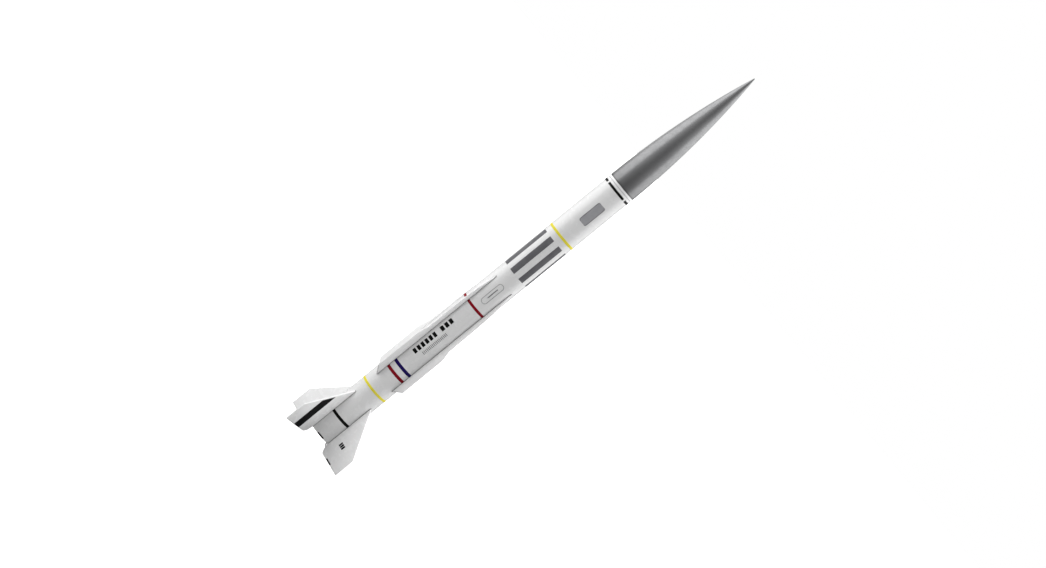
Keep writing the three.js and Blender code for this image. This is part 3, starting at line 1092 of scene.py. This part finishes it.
def bands():
    for node, look in (
        ("band_black_aft", BLACK_INK),
        ("band_yellow_aft", YELLOW_INK),
        ("band_red_aft", RED_INK),
        ("band_blue", BLUE_INK),
        ("band_red_fore", RED_INK),
        ("band_yellow_fore", YELLOW_INK),
    ):
        low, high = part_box(node)
        ring_band(f"{node}_film", low.z, high.z, look, node)


def patches(stem, count, start, span, corner, look):
    """Equal films round the tube at even turns from a start, each a given angle wide."""
    for i in range(count):
        node = f"{stem}_{i + 1}"
        low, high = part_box(node)
        columns = rounded_columns(span * TUBE_R, low.z, high.z, corner)
        film = wrapped(columns, middle=start + i * 2 * math.pi / count)
        add_object(f"{node}_film", film, look, "airframe", node)


def hatch():
    """A pale grey patch with round corners and a darker outline."""
    low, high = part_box("hatch_film")
    width, middle = HATCH_SPAN * TUBE_R, FRONT + PRINT_TURN
    corner, line = 2.6 * MM, 0.8 * MM
    film = wrapped(rounded_columns(width, low.z, high.z, corner), middle=middle)
    add_object("hatch_patch", film, PALE_INK, "airframe", "hatch_film")
    side, inset = (width - line) / 2, line / 2
    path = rounded_box(-side, side, low.z + inset, high.z - inset, corner - inset, 8)
    add_object("hatch_outline", ribbon_on_tube(path, line, middle), GREY_INK, "airframe")


def facing(degrees):
    """Azimuth of a place on the tube, in degrees round from the middle of its near side."""
    return CAMERA_SIDE + math.radians(degrees)


def oval_mark():
    """A long rounded outline with a short bar in it."""
    low, high = 272.7 * MM, 305.7 * MM
    path = rounded_box(-4.1 * MM, 4.1 * MM, low, high, 4 * MM, 12)
    add_object("oval_outline", ribbon_on_tube(path, 0.5 * MM, facing(4.5)), LINE_INK, "airframe")
    columns = rounded_columns(1.1 * MM, low + 9 * MM, high - 8 * MM, 0.4 * MM)
    add_object("oval_bar", wrapped(columns, middle=facing(4)), GREY_INK, "airframe")


def bar_row(name, look, turn, width, start, count, length, gap):
    """A row of equal plain bars along the tube, on one side of its middle or the other."""
    bars = []
    for k in range(count):
        low = start + k * (length + gap)
        columns = rounded_columns(width, low, low + length, 0.2 * MM)
        bars.append(wrapped(columns, high_r=INK_HIGH, middle=facing(turn)))
    add_object(name, joined(bars), look, "airframe")


def print_marks():
    """Plain bars where such a rocket carries its name, and a row of fine ticks below them."""
    bar_row(
        "bar_mark_long", BLACK_INK, turn=-13.5, width=6.6 * MM, start=168.9 * MM,
        count=6, length=4.2 * MM, gap=2.1 * MM,
    )
    bar_row(
        "bar_mark_short", BLACK_INK, turn=-13.5, width=6.6 * MM, start=212.4 * MM,
        count=3, length=4.8 * MM, gap=2.1 * MM,
    )
    bar_row(
        "tick_mark_fine", GREY_INK, turn=11.5, width=4.4 * MM, start=176.7 * MM,
        count=18, length=0.75 * MM, gap=1.4 * MM,
    )


def rim_marks():
    """A black film on the aft rim at the hook's place, painted shade where a notch would lie in
    shadow, and a faint line below the nose cone.
    """
    # Painted shade: a black film where a notch in the rim would lie in shadow.
    columns = rounded_columns(10.5 * MM, TUBE_AFT + 0.15 * MM, TUBE_AFT + 2.1 * MM, 0.6 * MM)
    add_object("hook_notch_painted_shade", wrapped(columns), BLACK_INK, "airframe")
    low, width = 490.5 * MM, 0.6 * MM
    ring_band("fore_line", low, low + width, PALE_INK)


def edge_wrap(inner, outer, reach, place):
    """A film round a fin's trailing edge, between two distances from the axis."""
    half = SHEET / 2
    section = []
    for offset in (0.07 * MM, -0.1 * MM):
        side = [(half + offset, reach)]
        for k in range(13):
            a = -k / 12 * math.pi
            shift = half - EDGE_ROUND if k < 6.5 else EDGE_ROUND - half
            radius = EDGE_ROUND + offset
            y, z = shift + radius * math.cos(a), EDGE_ROUND + radius * math.sin(a)
            side.append((y, max(z, 0)))
        side.append((-half - offset, reach))
        section += side if offset > 0 else side[::-1]
    return prism([place @ Vector((r, y, z)) for r in (inner, outer) for y, z in section])


def fin_marks():
    """A black stripe on one pair of fins, and small bars on the other pair. Both pairs
    carry black round their trailing edge where the stripe's line meets it."""
    inner, outer, low = 38 * MM, 49.2 * MM, 2.1 * MM
    below_edge, film = 1.6 * MM, 0.12 * MM

    def leading(r):
        t = (r - BLADE_ROOT) / (FIN_SPAN - BLADE_ROOT)
        return FIN_ROOT_FORE + (FIN_TIP_FORE - FIN_ROOT_FORE) * t - below_edge

    stripe = [(inner, low), (outer, low), (outer, leading(outer)), (inner, leading(inner))]
    first, pitch, width = 33.6 * MM, 3.2 * MM, 2.5 * MM
    starts = [first + pitch * k for k in range(3)]
    bars = [rectangle(r, r + width, 23.2 * MM, 29.2 * MM) for r in starts]
    for i, azimuth in enumerate(DIAGONALS):
        turn = Matrix.Rotation(azimuth, 4, "Z")
        kind, outlines = ("stripe", [stripe]) if i % 2 == 0 else ("bars", bars)
        parts = [edge_wrap(inner, outer, 2.2 * MM, turn)]
        for side in (-1, 1):
            face = turn @ Matrix.Translation((0, side * SHEET / 2, 0))
            parts += [slab(outline, film, face) for outline in outlines]
        name = f"fin_{kind}_{i + 1}"
        add_object(name, joined(parts), BLACK_INK, "airframe", smooth=False)


# ---- Floor, light and world ----


def seen_or_lighting(tree, seen, lighting):
    """A shader that shows one thing to the camera and lights the rocket with another."""
    path = add_node(tree, "ShaderNodeLightPath")
    pick = add_node(tree, "ShaderNodeMixShader")
    tree.links.new(path.outputs["Is Camera Ray"], pick.inputs[0])
    tree.links.new(lighting, pick.inputs[1])
    tree.links.new(seen, pick.inputs[2])
    return pick.outputs[0]


def floor():
    """A plain white paper floor, bright to the eye and dimmer as a bounce for the light."""
    mesh = bpy.data.meshes.new("floor")
    corners = [(x * FLOOR_SIZE, y * FLOOR_SIZE, 0) for x, y in ((-1, -1), (1, -1), (1, 1), (-1, 1))]
    mesh.from_pydata(corners, [], [(0, 1, 2, 3)])
    obj = new_object("floor", mesh)
    s = Shader("floor_paper", (0.9, 0.9, 0.9), 0.9, specular=0.0)
    s.color(s.mix(s.noise(3, 2), (0.89, 0.89, 0.89), (0.91, 0.91, 0.91)))
    s.set("Emission Color", (1, 1, 1, 1))
    s.set("Emission Strength", FLOOR_GLOW)
    bounce = s.node("ShaderNodeBsdfDiffuse")
    bounce.inputs["Color"].default_value = (FLOOR_BOUNCE, FLOOR_BOUNCE, FLOOR_BOUNCE, 1)
    output = s.tree.nodes["Material Output"]
    both = seen_or_lighting(s.tree, s.shader.outputs[0], bounce.outputs[0])
    s.tree.links.new(both, output.inputs["Surface"])
    mesh.materials.append(s.material)


def soft_box(name, side, power):
    """A tall soft box at the rocket's left (side -1) or right (side 1)."""
    data = bpy.data.lights.new(name, "AREA")
    data.shape = "RECTANGLE"
    data.size, data.size_y = BOX_SIZE
    data.energy = power
    obj = new_object(name, data)
    place = Vector((side * BOX_PLACE[0], *BOX_PLACE[1:]))
    obj.location = place
    aim = Vector(BOX_AIM) - place
    obj.rotation_mode = "QUATERNION"
    obj.rotation_quaternion = aim.to_track_quat("-Z", "Y")


def studio_world():
    """White to the eye. As light it is dim in front, and brighter at the sides and behind."""
    world = bpy.data.worlds.new("studio")
    bpy.context.scene.world = world
    world.use_nodes = True
    tree = world.node_tree
    tree.nodes.clear()

    coordinates = add_node(tree, "ShaderNodeTexCoord")

    def towards(direction):
        dot = add_node(tree, "ShaderNodeVectorMath", operation="DOT_PRODUCT")
        tree.links.new(coordinates.outputs["Generated"], dot.inputs[0])
        dot.inputs[1].default_value = direction
        return dot.outputs["Value"]

    across = add_node(tree, "ShaderNodeMath", operation="ABSOLUTE")
    tree.links.new(towards((math.cos(DIM_TURN), math.sin(DIM_TURN), 0)), across.inputs[0])
    ahead = towards((math.sin(DIM_TURN), -math.cos(DIM_TURN), 0))
    angle = add_node(tree, "ShaderNodeMath", operation="ARCTAN2")
    tree.links.new(across.outputs[0], angle.inputs[0])
    tree.links.new(ahead, angle.inputs[1])
    level = map_range(tree, angle.outputs[0], (*DIM_EDGE, DIM_LIGHT, SIDE_LIGHT))
    room = add_node(tree, "ShaderNodeBackground")
    tree.links.new(level, room.inputs["Strength"])
    white = add_node(tree, "ShaderNodeBackground")
    white.inputs["Color"].default_value = (1, 1, 1, 1)
    output = add_node(tree, "ShaderNodeOutputWorld")
    both = seen_or_lighting(tree, white.outputs[0], room.outputs[0])
    tree.links.new(both, output.inputs[0])
    bpy.context.scene.view_settings.view_transform = "Standard"


def lighting():
    """Two soft boxes at the rocket's sides in a white room."""
    soft_box("left_box", -1, LEFT_POWER)
    soft_box("right_box", 1, RIGHT_POWER)
    studio_world()


make_camera()
body_tube()
blades()
launch_lugs()
nose_cone()
nose_plug()
motor_mount()
engine_hook()
shock_cord()
cord_tie()
eyelet_knot()
canopy()
shroud_lines()
bands()
patches("panel_stripe", 8, PRINT_TURN + math.pi / 8, STRIPE_SPAN, 0.25 * MM, GREY_INK)
patches("dash", 4, FRONT + DASH_TURN, DASH_SPAN, 0, BLACK_INK)
hatch()
oval_mark()
print_marks()
rim_marks()
fin_marks()
floor()
lighting()
